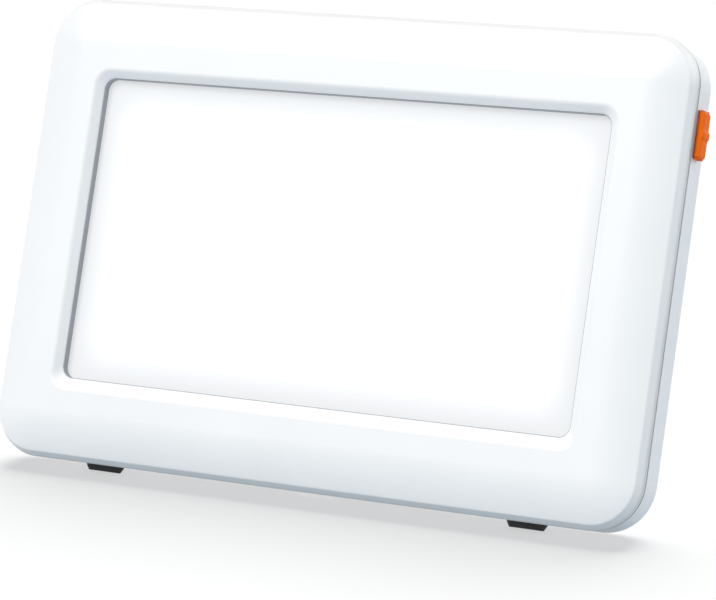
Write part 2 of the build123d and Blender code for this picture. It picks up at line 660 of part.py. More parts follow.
def board_screws():
    length = BOARD_THICK + COVER_INSIDE - BOARD_BACK - BOSS_CLEARANCE
    screw = pan_screw(SMALL_SCREW_RADIUS, length, SMALL_HEAD_RADIUS, SMALL_HEAD_HEIGHT)
    return [head_front(x, BOARD_FRONT, z) * screw for x, z in BOARD_HOLES]


def driver_inductor():
    """Ferrite drum: two flanges with a core between them."""
    front = BOARD_FRONT - PART_HEIGHT
    drum = rod(*INDUCTOR, INDUCTOR_RADIUS, front, front + INDUCTOR_FLANGE)
    drum += rod(*INDUCTOR, INDUCTOR_CORE, front, BOARD_FRONT)
    return drum + rod(*INDUCTOR, INDUCTOR_RADIUS, BOARD_FRONT - INDUCTOR_FLANGE, BOARD_FRONT)


def inductor_winding():
    front, back = BOARD_FRONT - PART_HEIGHT + INDUCTOR_FLANGE, BOARD_FRONT - INDUCTOR_FLANGE
    outer = (INDUCTOR_RADIUS + INDUCTOR_CORE) / 2
    return rod(*INDUCTOR, outer, front, back) - rod(*INDUCTOR, INDUCTOR_CORE, front, back)


def driver_capacitors():
    """Two upright cans, each with the crimp groove near its foot."""
    groove = BOARD_FRONT - CAPACITOR_GROOVE_LIFT
    groove_back = groove + CAPACITOR_GROOVE
    cans = []
    for x, z in CAPACITORS:
        can = rod(x, z, CAPACITOR_RADIUS, BOARD_FRONT - PART_HEIGHT, BOARD_FRONT)
        can = fillet(can.edges().sort_by(Axis.Y)[0], CAPACITOR_ROUND)
        band = rod(x, z, CAPACITOR_RADIUS, groove, groove_back)
        band -= rod(x, z, CAPACITOR_RADIUS - CAPACITOR_GROOVE, groove, groove_back)
        cans.append(can - band)
    return cans


def driver_chips():
    """Three flat packages; each has its place across and up, its width and its height."""
    return [slab(Pos(BOARD_X + across, BOARD_Z + up) * Rectangle(width, height),
                 BOARD_FRONT - CHIP_THICK, BOARD_FRONT)
            for across, up, width, height in CHIPS]


def plug_end(row):
    """Z of the open side of the plugs in the top (1) or bottom (-1) row."""
    return BOARD_Z + row * (BOARD_HEIGHT / 2 - PLUG_EDGE)


def board_plugs():
    plugs = []
    for x, row in PLUGS:
        middle = plug_end(row) - row * PLUG_HEIGHT / 2
        plug = slab(Pos(x, middle) * Rectangle(PLUG_WIDTH, PLUG_HEIGHT),
                    BOARD_FRONT - PART_HEIGHT, BOARD_FRONT)
        plugs.append(chamfer(plug.edges().filter_by(Axis.X).sort_by(Axis.Y)[:2], PLUG_EDGE))
    return plugs


def leads(*routes):
    """Round wires along the given routes, each a list of corner points."""
    wires = []
    for points in routes:
        path = FilletPolyline(*points, radius=LEAD_BEND)
        wires.append(sweep((path ^ 0) * Circle(LEAD_RADIUS), path=path))
    return wires


def led_leads():
    """A pair from each strip, back through the heat spreader and along it to the driver board."""
    routes = []
    for row in (-1, 1):
        hole_x, hole_z = lead_hole(row)
        for side in (-1, 1):
            x = hole_x + side * LEAD_PITCH / 2
            routes.append([(x, SPREADER_FRONT, hole_z), (x, LEAD_DEPTH, hole_z),
                           (x, LEAD_DEPTH, plug_end(row))])
    return leads(*routes)


# -------------------------------------------------------------------------------- DC inlet

def dc_socket():
    """Round socket with a flange outside the cover and a neck that its nut runs on."""
    socket = rod(INLET_X, INLET_Z, INLET_FLANGE, INLET_SEAT, INLET_MOUTH)
    socket += rod(INLET_X, INLET_Z, INLET_NECK, INLET_FRONT, INLET_SEAT)
    socket -= rod(INLET_X, INLET_Z, INLET_BORE, INLET_FLOOR, INLET_MOUTH)
    rim = socket.edges().filter_by(GeomType.CIRCLE).group_by(Axis.Y)[-1]
    socket = chamfer(rim.sort_by(SortBy.RADIUS)[0], INLET_CHAMFER)
    return socket - rod(INLET_X, INLET_Z, INLET_ROOT_RADIUS, INLET_FRONT, INLET_FLOOR)


def dc_pin():
    """Centre contact, seated on the socket's floor, with a thinner root pressed into it."""
    pin = rod(INLET_X, INLET_Z, INLET_PIN_RADIUS, INLET_FLOOR, INLET_FLOOR + INLET_PIN_REACH)
    pin = chamfer(pin.edges().sort_by(Axis.Y)[-1], INLET_PIN_CHAMFER)
    return pin + rod(INLET_X, INLET_Z, INLET_ROOT_RADIUS, INLET_FRONT, INLET_FLOOR)


def socket_nut():
    nut = Pos(INLET_X, INLET_Z) * RegularPolygon(NUT_FLATS / 2, 6, major_radius=False)
    nut = slab(nut, PAD_FRONT - NUT_THICK, PAD_FRONT)
    return nut - rod(INLET_X, INLET_Z, INLET_NECK, PAD_FRONT - NUT_THICK, PAD_FRONT)


def dc_tags():
    """Solder tags that leave the side of the socket, towards the driver board."""
    tags = []
    for side in (-1, 1):
        x = INLET_X + side * TAG_PITCH / 2
        start = (INLET_NECK ** 2 - (x - INLET_X) ** 2) ** 0.5
        tag = block((x - TAG_WIDTH / 2, x + TAG_WIDTH / 2), (TAG_DEPTH, TAG_DEPTH + TAG_THICK),
                    (INLET_Z, INLET_Z + start + TAG_REACH))
        tags.append(tag - rod(INLET_X, INLET_Z, INLET_NECK, INLET_FRONT, INLET_SEAT))
    return tags


def power_leads():
    tag_z = INLET_Z + INLET_NECK + TAG_REACH / 2
    end = plug_end(-1)
    wire_y = TAG_DEPTH + TAG_THICK + LEAD_RADIUS
    routes = []
    low_bend, high_bend = [tag_z + (end - tag_z) * share for share in POWER_LEAD_BENDS]
    for side in (-1, 1):
        from_x, to_x = INLET_X + side * TAG_PITCH / 2, POWER_PLUG_X + side * LEAD_PITCH / 2
        routes.append([(from_x, wire_y, tag_z), (from_x, wire_y, low_bend),
                       (to_x, LEAD_DEPTH, high_bend), (to_x, LEAD_DEPTH, end)])
    return leads(*routes)


# -------------------------------------------------------------------------------- switch

def switch_can():
    """Metal case of the slide switch, open where the slider stands out."""
    x_range = (SWITCH_CAN_RIGHT - SWITCH_CAN_WIDTH, SWITCH_CAN_RIGHT)
    y_range = (SWITCH_CAN_BACK - SWITCH_CAN_DEPTH, SWITCH_CAN_BACK)
    half = SWITCH_CAN_LENGTH / 2
    can = block(x_range, y_range, (SWITCH_Z - half, SWITCH_Z + half))
    track = SLIDER_LENGTH / 2 + RUNNING_GAP
    return can - block((SLIDER_ROOT - RUNNING_GAP, SWITCH_CAN_RIGHT),
                       (KNOB_MID - SLIDER_DEPTH / 2 - RUNNING_GAP,
                        KNOB_MID + SLIDER_DEPTH / 2 + RUNNING_GAP),
                       (SWITCH_Z - SWITCH_TRAVEL - track, SWITCH_Z + track))


def switch_slider():
    """Actuator of the slide switch, from inside its case to the end of the knob's stem."""
    return block((SLIDER_ROOT, STEM_END),
                 (KNOB_MID - SLIDER_DEPTH / 2, KNOB_MID + SLIDER_DEPTH / 2),
                 (SWITCH_Z - SLIDER_LENGTH / 2, SWITCH_Z + SLIDER_LENGTH / 2))


def switch_knob():
    """The part that the finger moves: a rounded bar with a cross rib, and its stem."""
    outside = KNOB_INSIDE + KNOB_PROUD
    half = KNOB_LENGTH / 2
    knob = block((KNOB_INSIDE, outside), (KNOB_FRONT, KNOB_FRONT + KNOB_DEPTH),
                 (SWITCH_Z - half, SWITCH_Z + half))
    knob = fillet(knob.edges().filter_by(Axis.X), KNOB_ROUND)
    knob = fillet(knob.edges().group_by(Axis.X)[-1], KNOB_ROUND)
    rib = Pos(outside, KNOB_MID, SWITCH_Z) * Box(2 * KNOB_RIB, KNOB_DEPTH - 2 * KNOB_ROUND,
                                                 KNOB_RIB_LENGTH)
    knob += fillet(rib.edges().group_by(Axis.X)[-1], KNOB_RIB_ROUND)
    return knob + block((STEM_END, KNOB_INSIDE + KNOB_PROUD / 2),
                        (KNOB_MID - STEM_DEPTH / 2, KNOB_MID + STEM_DEPTH / 2),
                        (SWITCH_Z - STEM_LENGTH / 2, SWITCH_Z + STEM_LENGTH / 2))


def switch_board():
    board = slab(Pos(SWITCH_BOARD_X, SWITCH_Z) * RectangleRounded(SWITCH_BOARD_WIDTH,
                                                                  SWITCH_BOARD_LENGTH, WALL / 2),
                 SWITCH_CAN_BACK, SWITCH_BOARD_BACK)
    for x, z in SWITCH_HOLES:
        board -= rod(x, z, SMALL_SCREW_RADIUS + SCREW_CLEARANCE, SWITCH_CAN_BACK,
                     SWITCH_BOARD_BACK)
    return board


def switch_screws():
    length = BOARD_THICK + COVER_INSIDE - SWITCH_BOARD_BACK - BOSS_CLEARANCE
    screw = pan_screw(SMALL_SCREW_RADIUS, length, SMALL_HEAD_RADIUS, SMALL_HEAD_HEIGHT)
    return [head_front(x, SWITCH_CAN_BACK, z) * screw for x, z in SWITCH_HOLES]


def switch_leads():
    """A pair from the switch board down to the driver board."""
    start_z = SWITCH_Z - SWITCH_CAN_LENGTH / 2
    start_x = SWITCH_BOARD_X - SWITCH_BOARD_WIDTH / 2
    wire_y = SWITCH_CAN_BACK + BOARD_THICK / 2
    end = plug_end(1)
    routes = []
    for side in (-1, 1):
        to_x = SWITCH_PLUG_X + side * LEAD_PITCH / 2
        from_z = start_z + side * LEAD_PITCH / 2
        routes.append([(start_x, wire_y, from_z), (to_x, wire_y, from_z), (to_x, wire_y, end)])
    return leads(*routes)


# ------------------------------------------------------------------------- leg and hinge

def leg_side_view():
    """Section of the leg across its hinge, folded flat: X is Y from the hinge, Y is Z from it.

    The leg ends in a round on the hinge line, and a heel stands above that. The heel's front is
    cut so that it lies on the nest's floor when the leg is open, which stops the leg there.
    """
    half = LEG_THICK / 2
    opened = radians(LEG_OPEN)
    floor = NEST_FLOOR - HINGE_Y + STOP_GAP
    section = Circle(half) + Pos(0, -(LEG_LENGTH - SHOE_HEIGHT) / 2) * Rectangle(
        LEG_THICK, LEG_LENGTH - SHOE_HEIGHT)
    section += Pos(0, HEEL_REACH / 2) * Rectangle(LEG_THICK, HEEL_REACH)
    keep = Rot(0, 0, -LEG_OPEN) * Pos(floor + LEG_LENGTH, 0) * Rectangle(2 * LEG_LENGTH,
                                                                         4 * LEG_LENGTH)
    return section & keep


def open_leg(piece):
    """Turns a piece of the leg about the hinge, from folded to open."""
    hinge = Pos(0, HINGE_Y, HINGE_Z)
    return hinge * Rot(LEG_OPEN, 0, 0) * hinge.inverse() * piece


def leg_panel():
    """Moulded leg, folded: a skin at the back, with ribs in front and a tongue for the shoe."""
    across = Plane(origin=(-LEG_WIDTH / 2, HINGE_Y, HINGE_Z), x_dir=(0, 1, 0), z_dir=(1, 0, 0))
    leg = extrude(across * leg_side_view(), amount=LEG_WIDTH)
    low = HINGE_Z - LEG_LENGTH + SHOE_HEIGHT
    outline = Pos(0, (low + HINGE_Z + HEEL_REACH) / 2) * Rectangle(
        LEG_WIDTH, HINGE_Z + HEEL_REACH - low)
    outline = fillet(outline.vertices().group_by(Axis.Y)[0], LEG_CORNER)
    leg &= slab(outline, LEG_FRONT - LEG_THICK, LEG_BACK + LEG_THICK)
    leg = chamfer(leg.edges().filter_by(Plane.XZ).group_by(Axis.Y)[-1], LEG_EDGE / 2)

    # weight-saving pockets in the front, between long ribs and cross ribs
    bay_width = (LEG_WIDTH - (LEG_BAYS + 1) * LEG_RIB) / LEG_BAYS
    bay_top = HINGE_Z - LEG_THICK
    bay_height = (bay_top - low - LEG_CORNER / 2 - (LEG_BAYS - 1) * LEG_RIB) / LEG_BAYS
    for column in range(LEG_BAYS):
        for row in range(LEG_BAYS):
            x = (column - (LEG_BAYS - 1) / 2) * (bay_width + LEG_RIB)
            z = bay_top - bay_height / 2 - row * (bay_height + LEG_RIB)
            bay = Pos(x, z) * RectangleRounded(bay_width, bay_height, LEG_RIB)
            leg -= slab(bay, LEG_FRONT, LEG_BACK - LEG_SKIN)

    tongue_width = SHOE_WIDTH - 2 * LEG_RIB
    leg += block((-tongue_width / 2, tongue_width / 2),
                 (HINGE_Y - TONGUE_THICK / 2, HINGE_Y + TONGUE_THICK / 2),
                 (low - TONGUE_HEIGHT, low))
    for bore in on_hinge(HINGE_PIN_RADIUS, PIN_INNER - PIN_HOLE_SPARE, LEG_WIDTH / 2):
        leg -= bore
    for x in SET_SCREWS:
        leg -= rod(x, HINGE_Z, HINGE_PIN_RADIUS, LEG_FRONT, HINGE_Y)
    return leg


def leg_shoe():
    """Rubber shoe on the leg's tongue, folded, with a sole parallel to the table when open."""
    low = HINGE_Z - LEG_LENGTH + SHOE_HEIGHT
    shoe = block((-SHOE_WIDTH / 2, SHOE_WIDTH / 2), (LEG_FRONT, LEG_BACK),
                 (HINGE_Z - LEG_TIP, low))
    shoe = fillet(shoe.edges().filter_by(Axis.Y).group_by(Axis.Z)[0], LEG_RIB)
    tongue_width = SHOE_WIDTH - 2 * LEG_RIB
    shoe -= block((-tongue_width / 2, tongue_width / 2),
                  (HINGE_Y - TONGUE_THICK / 2, HINGE_Y + TONGUE_THICK / 2),
                  (low - TONGUE_HEIGHT, low))
    below = Pos(0, HINGE_Y, HINGE_Z - LEG_LENGTH) * Rot(-LEG_SPLAY, 0, 0)
    below *= Pos(0, 0, -SHOE_HEIGHT) * Box(2 * SHOE_WIDTH, 4 * LEG_THICK, 2 * SHOE_HEIGHT)
    return shoe - below


def hinge_pins():
    """Two steel pins, fast in the leg, that turn in blind holes in the cheeks of the nest."""
    return on_hinge(HINGE_PIN_RADIUS, PIN_INNER, PIN_OUTER)


def pin_set_screws():
    """Headless screws in the leg's front, each hard against one hinge pin."""
    screws = []
    for x in SET_SCREWS:
        screw = rod(x, HINGE_Z, HINGE_PIN_RADIUS, LEG_FRONT, HINGE_Y)
        for pin in hinge_pins():
            screw -= pin
        key = Pos(x, HINGE_Z) * RegularPolygon(SET_SCREW_FLATS / 2, 6, major_radius=False)
        screws.append(screw - slab(key, LEG_FRONT, LEG_FRONT + SET_SCREW_FLATS / 2))
    return screws


def friction_washers():
    """Thin rings round the pins, against the cheeks."""
    ring = Circle(WASHER_RADIUS) - Circle(HINGE_PIN_RADIUS + HINGE_RUNNING)
    ring = extrude(ring, amount=WASHER_THICK)
    inner_face = NEST_WIDTH / 2 - WASHER_THICK
    return [Pos(side * inner_face, HINGE_Y, HINGE_Z) * Rot(0, 90 * side, 0) * ring
            for side in (-1, 1)]


# -------------------------------------------------------------------- leaning and writing

HOUSING = {
    "front_bezel": front_bezel(),
    "window_gasket": window_gasket(),
    "diffuser_panel": diffuser_panel(),
    "light_guide": light_guide(),
    "reflector_sheet": reflector_sheet(),
    "carrier_frame": carrier_frame(),
    "led_strip_top": led_strip(1),
    "led_strip_bottom": led_strip(-1),
    "leds_top": leds(1),
    "leds_bottom": leds(-1),
    "heat_spreader": heat_spreader(),
    "spreader_screws": spreader_screws(),
    "insulator_sheet": insulator_sheet(),
    "driver_board": driver_board(),
    "board_screws": board_screws(),
    "driver_inductor": driver_inductor(),
    "inductor_winding": inductor_winding(),
    "driver_capacitors": driver_capacitors(),
    "driver_chips": driver_chips(),
    "board_plugs": board_plugs(),
    "led_leads": led_leads(),
    "power_leads": power_leads(),
    "switch_leads": switch_leads(),
    "dc_socket": dc_socket(),
    "dc_pin": dc_pin(),
    "socket_nut": socket_nut(),
    "dc_tags": dc_tags(),
    "switch_can": switch_can(),
    "switch_board": switch_board(),
    "switch_screws": switch_screws(),
    "rear_cover": rear_cover(),
    "case_screws": case_screws(),
    "foot_left": foot(-1),
    "foot_right": foot(1),
    "friction_washers": friction_washers(),
}
SWITCH = {"switch_knob": switch_knob(), "switch_slider": switch_slider()}
LEG = {"leg_panel": leg_panel(), "leg_shoe": leg_shoe(), "hinge_pins": hinge_pins(),
       "pin_set_screws": pin_set_screws()}


def solids_of(piece):
    pieces = piece if isinstance(piece, list) else [piece]
    return [solid for shape in pieces for solid in shape.solids()]


lean = Rot(-LEAN, 0, 0)
upright = {name: solids_of(piece) for name, piece in {**HOUSING, **SWITCH}.items()}
upright |= {name: [open_leg(solid) for solid in solids_of(piece)] for name, piece in LEG.items()}
standing = {name: [lean * solid for solid in solids] for name, solids in upright.items()}
box = Compound(children=[solid for solids in standing.values() for solid in solids]).bounding_box()
PLACE = Pos(-box.center().X, -box.center().Y, -TABLE)

for name, solids in standing.items():
    export_step(Compound(children=[PLACE * solid for solid in solids]), f"parts/{name}.step")
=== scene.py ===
"""Looks of a light therapy lamp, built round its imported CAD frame.

Pieces are drawn in the lamp's own upright frame, in millimetres: X to the right, Y from the lit
face to the back, Z up the face, origin in the middle of the face. LAMP leans them back and
brings them to metres in the shared frame.
"""
import json
from math import cos, hypot, pi, radians, sin

import bmesh
import bpy
from mathutils import Matrix, Vector


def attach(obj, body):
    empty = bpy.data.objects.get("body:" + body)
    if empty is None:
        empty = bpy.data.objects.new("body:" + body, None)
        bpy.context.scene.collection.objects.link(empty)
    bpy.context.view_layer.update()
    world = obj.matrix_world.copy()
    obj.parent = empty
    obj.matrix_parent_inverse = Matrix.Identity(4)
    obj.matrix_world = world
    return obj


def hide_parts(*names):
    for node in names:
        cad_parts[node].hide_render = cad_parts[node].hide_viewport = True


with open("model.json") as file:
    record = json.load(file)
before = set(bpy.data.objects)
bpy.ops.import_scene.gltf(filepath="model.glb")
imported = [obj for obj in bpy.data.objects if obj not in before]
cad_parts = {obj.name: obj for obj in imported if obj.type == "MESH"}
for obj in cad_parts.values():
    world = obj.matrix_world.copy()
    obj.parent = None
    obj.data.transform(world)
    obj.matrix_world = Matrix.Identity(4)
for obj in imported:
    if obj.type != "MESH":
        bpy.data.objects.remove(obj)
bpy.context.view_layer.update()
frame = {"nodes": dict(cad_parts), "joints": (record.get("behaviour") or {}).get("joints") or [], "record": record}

MM = 0.001

# ------------------------------------------------------------------------ the lamp's own frame

JOINTS = {joint["name"]: joint for joint in frame["joints"]}
UP = Vector(JOINTS["switch_slide"]["axis"]).normalized()
RIGHT = Vector((1, 0, 0))
BACK = UP.cross(RIGHT)
UPRIGHT = Matrix((RIGHT, BACK, UP))
LEANING = UPRIGHT.transposed()


def leaned_box(node):
    """Lowest and highest corner of a CAD node, measured along the lamp's own axes, in metres."""
    points = [UPRIGHT @ vertex.co for vertex in frame["nodes"][node].data.vertices]
    low = Vector(min(point[axis] for point in points) for axis in range(3))
    high = Vector(max(point[axis] for point in points) for axis in range(3))
    return low, high


bezel_low, bezel_high = leaned_box("front_bezel")
FACE_CENTRE = LEANING @ Vector(((bezel_low.x + bezel_high.x) / 2, bezel_low.y,
                                (bezel_low.z + bezel_high.z) / 2))
LAMP = Matrix.Translation(FACE_CENTRE) @ LEANING.to_4x4() @ Matrix.Scale(MM, 4)


def upright_box(node):
    """Lowest and highest corner of a CAD node in the upright frame, in millimetres."""
    low, high = leaned_box(node)
    middle = UPRIGHT @ FACE_CENTRE
    return (low - middle) / MM, (high - middle) / MM


# ----------------------------------------------------------------------------- driving sizes

# Case outline and the section of its border, in millimetres of the upright frame
CASE_WIDTH = 235.0
CASE_HEIGHT = 156.5
CASE_CORNER = 16.5
CROWN_WIDTH = 16.0
CROWN_DROP = 3.6
CROWN_BEND = 1.75
EDGE_INSET = 1.9
EDGE_SPREAD = 0.43
RIM_DEPTH = 7.1
RIM_SPREAD = 1.2
BEZEL_DEPTH = 8.5
BACK_EDGE_INSET = 0.6
BACK_EDGE_ROUND = 0.15
WALL = 2.0
LIP_REACH = 2.0
FACE_WALL = 2.6
CAVITY_INSET = 8.0
RIB = 1.5

# Window
WINDOW_WIDTH = 184.6
WINDOW_HEIGHT = 101.7
WINDOW_CORNER = 4.0
WINDOW_RISE = 0.0
BEVEL_DEPTH = 2.2
BEVEL_SIDE = 2.6
BEVEL_TOP = 2.4
BEVEL_BOTTOM = 3.6
BEVEL_SOFT = 0.8
BEVEL_LIP = 0.3
WINDOW_RECESS = 4.9
GASKET_THICK = 0.5
GASKET_WIDTH = 2.6
# The grey liner up the window's wall is painted shade of that wall: its reach and its gap.
PAINTED_SHADE_LINER = 0.2
PAINTED_SHADE_LINER_GAP = 0.02

# Posts, bosses and the rib inside the bezel
POST_INSET = 11.0
POST_RADIUS = 3.5
POST_END = 16.7
POST_BORE = 1.25
BOSS_X = 80.6
BOSS_Z = 63.85
BOSS_RADIUS = 3.0
BOSS_END = 10.2
BOSS_BORE = 1.0
CARRIER_WIDTH = 197.5
CARRIER_HEIGHT = 118.0
CARRIER_CORNER = 2.6
CARRIER_CLEARANCE = 0.15
CARRIER_REACH = 6.9

# Switch knob and rubber feet
KNOB_PROUD = 2.2
KNOB_RIB = 0.5
KNOB_ROUND = 1.0
KNOB_END = 1.3
KNOB_FALL = 1.3
KNOB_BAND_HALF = 0.6
KNOB_BAND_SLOPE = 1.3
KNOB_STEM_DEPTH = 2.6
KNOB_STEM_LENGTH = 4.0
FOOT_THICK = 2.15
FOOT_TAPER = 0.8
FOOT_ROUND = 0.5
FOOT_TOP_ROUND = 0.2
FOOT_TOP_SHARE = 0.08  # of the foot's thickness, which its rounded top edge takes
FOOT_END_FLAT = 0.01
FOOT_SOLE = 2.8
PEG_RADIUS = 1.8
PEG_HEAD = 0.5

# Mesh divisions. A pair is the steps round each corner and along each side of an outline.
CASE_DIVISIONS = (14, 16)
KNOB_DIVISIONS = (6, 3)
STEM_DIVISIONS = (3, 2)
FOOT_DIVISIONS = (10, 6)
KNOB_STEPS = 5
CURVE_STEPS = 5
SMALL_CURVE_STEPS = 3
CROWN_STEPS = 24
ROUND_STEPS = 28

# Shading: edges stay sharp past these angles in degrees, and larger faces lead the normals
CAD_SHARP = 30.0
PIECE_SHARP = 40.0
FACE_WEIGHT = 90

# ------------------------------------------------------------------------------------ camera

CAMERA_YAW = radians(27.45)
CAMERA_PITCH = radians(11.62)
CAMERA_DISTANCE = 1.06133
CAMERA_RIGHT = 0.01075
CAMERA_UP = -0.01625
FOCAL_PIXELS = 3303.4
IMAGE_WIDTH = 716
SENSOR = 36.0
CAMERA_CLIP = (0.01, 50.0)


def make_camera():
    """Camera at the viewing angle of the photograph, looking a little beside the face centre."""
    toward = Vector((sin(CAMERA_YAW) * cos(CAMERA_PITCH), -cos(CAMERA_YAW) * cos(CAMERA_PITCH),
                     sin(CAMERA_PITCH)))
    right = Vector((cos(CAMERA_YAW), sin(CAMERA_YAW), 0))
    up = toward.cross(right)
    data = bpy.data.cameras.new("camera")
    data.sensor_width = SENSOR
    data.lens = FOCAL_PIXELS / IMAGE_WIDTH * SENSOR
    data.clip_start, data.clip_end = CAMERA_CLIP
    camera = bpy.data.objects.new("camera", data)
    axes = Matrix((right, up, toward)).transposed().to_4x4()
    place = FACE_CENTRE + CAMERA_DISTANCE * toward + CAMERA_RIGHT * right + CAMERA_UP * up
    camera.matrix_world = Matrix.Translation(place) @ axes
    bpy.context.scene.collection.objects.link(camera)
    bpy.context.scene.camera = camera


# ------------------------------------------------------------------------------------ node tools

def new_nodes(owner):
    """An emptied node tree, as its nodes and a function that links two sockets."""
    owner.use_nodes = True
    tree = owner.node_tree
    tree.nodes.clear()
    return tree.nodes, tree.links.new


def combine(nodes, link, operation, first, second):
    """The result of a Math node on a socket and a socket or number."""
    node = nodes.new("ShaderNodeMath")
    node.operation = operation
    link(first, node.inputs[0])
    if isinstance(second, float):
        node.inputs[1].default_value = second
    else:
        link(second, node.inputs[1])
    return node.outputs[0]


def dot_product(nodes, link, vector, axis):
    """How far a socket's vector reaches along an axis."""
    node = nodes.new("ShaderNodeVectorMath")
    node.operation = "DOT_PRODUCT"
    link(vector, node.inputs[0])
    node.inputs[1].default_value = axis
    return node.outputs["Value"]


def mixed_colour(nodes, link, share, first, second):
    """A colour that goes from the first to the second with a socket's value."""
    node = nodes.new("ShaderNodeMix")
    node.data_type = "RGBA"
    node.inputs["A"].default_value = first
    node.inputs["B"].default_value = second
    link(share, node.inputs["Factor"])
    return node.outputs["Result"]


def ramp(nodes, link, value, from_low, from_high, to_low, to_high):
    """A socket's value brought smoothly from one range to another, and held at its ends."""
    node = nodes.new("ShaderNodeMapRange")
    node.interpolation_type = "SMOOTHSTEP"
    node.inputs["From Min"].default_value = from_low
    node.inputs["From Max"].default_value = from_high
    node.inputs["To Min"].default_value = to_low
    node.inputs["To Max"].default_value = to_high
    link(value, node.inputs["Value"])
    return node.outputs[0]


def background_rays(nodes, link):
    """1 for rays that show the background: those of the camera, of gloss and of clear pieces."""
    path = nodes.new("ShaderNodeLightPath").outputs
    mirrored = combine(nodes, link, "MAXIMUM", path["Is Glossy Ray"], path["Is Transmission Ray"])
    return combine(nodes, link, "MAXIMUM", path["Is Camera Ray"], mirrored)


def lamp_coordinate(nodes, link, axis):
    """Distance of the shaded point from the face centre along an axis of the lamp, in mm."""
    place = nodes.new("ShaderNodeTexCoord").outputs["Object"]
    reach = dot_product(nodes, link, place, axis / MM)
    return combine(nodes, link, "SUBTRACT", reach, FACE_CENTRE.dot(axis) / MM)


# ------------------------------------------------------------------------------ studio light

# The world is WORLD_LEVEL plus WORLD_SLOPE times a direction. A sun is its name, its strength,
# how many degrees wide it is, and where it stands.
WHITE = (1.0, 1.0, 1.0)
WORLD_COLOUR = (0.84, 0.93, 1.0)
WORLD_LEVEL = 0.36
WORLD_SLOPE = (0.25, -0.34, -0.29)
SUNS = [("key", 1.65, 40, (-0.52, -0.88, 1.0)), ("top", 0.8, 50, (-0.1, -0.35, 1.0)),
        ("side", 1.3, 50, (0.85, 0.8, 0.4)), ("back", 0.7, 50, (0.0, 1.0, 0.1))]
WARM = (1.0, 0.97, 0.935)
FLOOR_SUN = ("floor_light", 7.0, 46, (-0.11, 0.56, 1.0))
FLOOR_COLOUR = (0.11, 0.12, 0.13, 1)
FLOOR_SHOWN = (0.22, 0.22, 0.22, 1)
FLOOR_GLOW = (0.575, 0.575, 0.575, 1)
FLOOR_FILL = (0.28, 0.33, 0.37, 1)
FLOOR_SIZE = 12.0


def make_world():
    """Soft light, stronger from the right, the front and below, and a white background."""
    world = bpy.data.worlds.new("studio")
    bpy.context.scene.world = world
    nodes, link = new_nodes(world)
    direction = nodes.new("ShaderNodeTexCoord").outputs["Generated"]
    slope = dot_product(nodes, link, direction, WORLD_SLOPE)
    level = combine(nodes, link, "ADD", slope, WORLD_LEVEL)
    lighting = nodes.new("ShaderNodeBackground")
    lighting.inputs["Color"].default_value = (*WORLD_COLOUR, 1)
    link(level, lighting.inputs["Strength"])
    white = nodes.new("ShaderNodeBackground")
    white.inputs["Color"].default_value = (*WHITE, 1)
    shown = nodes.new("ShaderNodeMixShader")
    link(background_rays(nodes, link), shown.inputs["Fac"])
    link(lighting.outputs[0], shown.inputs[1])
    link(white.outputs[0], shown.inputs[2])
    output = nodes.new("ShaderNodeOutputWorld")
    link(shown.outputs[0], output.inputs["Surface"])


def make_sun(name, strength, width, direction):
    """A sun that shines from a direction."""
    data = bpy.data.lights.new(name, "SUN")
    data.energy = strength
    data.angle = radians(width)
    sun = bpy.data.objects.new(name, data)
    sun.rotation_mode = "QUATERNION"
    sun.rotation_quaternion = Vector(direction).to_track_quat("Z", "Y")
    bpy.context.scene.collection.objects.link(sun)
    return sun


def make_suns(floor):
    """The lamp's warm suns, which leave out the floor, and the floor's own white one."""
    for state, suns, colour in (("EXCLUDE", SUNS, WARM), ("INCLUDE", [FLOOR_SUN], WHITE)):
        receivers = bpy.data.collections.new(f"floor_{state.lower()}d")
        receivers.objects.link(floor)
        receivers.collection_objects[0].light_linking.link_state = state
        for settings in suns:
            sun = make_sun(*settings)
            sun.light_linking.receiver_collection = receivers
            sun.data.color = colour


def make_floor():
    """White table that runs into the background and keeps the lamp's shadow.

    Rays that show the background see FLOOR_SHOWN and FLOOR_GLOW, which add up to white in full
    light. The light that the table throws on the lamp is FLOOR_COLOUR and FLOOR_FILL.
    """
    mesh = bpy.data.meshes.new("floor")
    half = FLOOR_SIZE / 2
    mesh.from_pydata([(-half, -half, 0), (half, -half, 0), (half, half, 0), (-half, half, 0)],
                     [], [(0, 1, 2, 3)])
    floor = bpy.data.objects.new("floor", mesh)
    bpy.context.scene.collection.objects.link(floor)
    material = bpy.data.materials.new("floor")
    nodes, link = new_nodes(material)
    shown = background_rays(nodes, link)
    surface = nodes.new("ShaderNodeBsdfDiffuse")
    link(mixed_colour(nodes, link, shown, FLOOR_COLOUR, FLOOR_SHOWN), surface.inputs["Color"])
    glow = nodes.new("ShaderNodeEmission")
    link(mixed_colour(nodes, link, shown, FLOOR_FILL, FLOOR_GLOW), glow.inputs["Color"])
    both = nodes.new("ShaderNodeAddShader")
    link(surface.outputs[0], both.inputs[0])
    link(glow.outputs[0], both.inputs[1])
    output = nodes.new("ShaderNodeOutputMaterial")
    link(both.outputs[0], output.inputs["Surface"])
    mesh.materials.append(material)
    return floor


# --------------------------------------------------------------------------------- materials

# Noise that makes colour and roughness wander, and the detail of the fine grain
BROAD_SCALE = 45.0
BROAD_DETAIL = 3.0
FINE_DETAIL = 2.0

# Painted shade towards the parting line: the depths in mm where it starts and ends, and its share
PAINTED_SEAM_SHADE = (5.5, 7.4, 0.66)

# The diffuser glows less near its edge: the distances in mm where its fade starts and ends
DIFFUSER_BASE = (0.28, 0.29, 0.30)
DIFFUSER_TINT = (0.985, 0.99, 1.0, 1)
DIFFUSER_GLOW = 0.80
DIFFUSER_EDGE_GLOW = 0.545
DIFFUSER_FADE = (-1.0, 17.0)


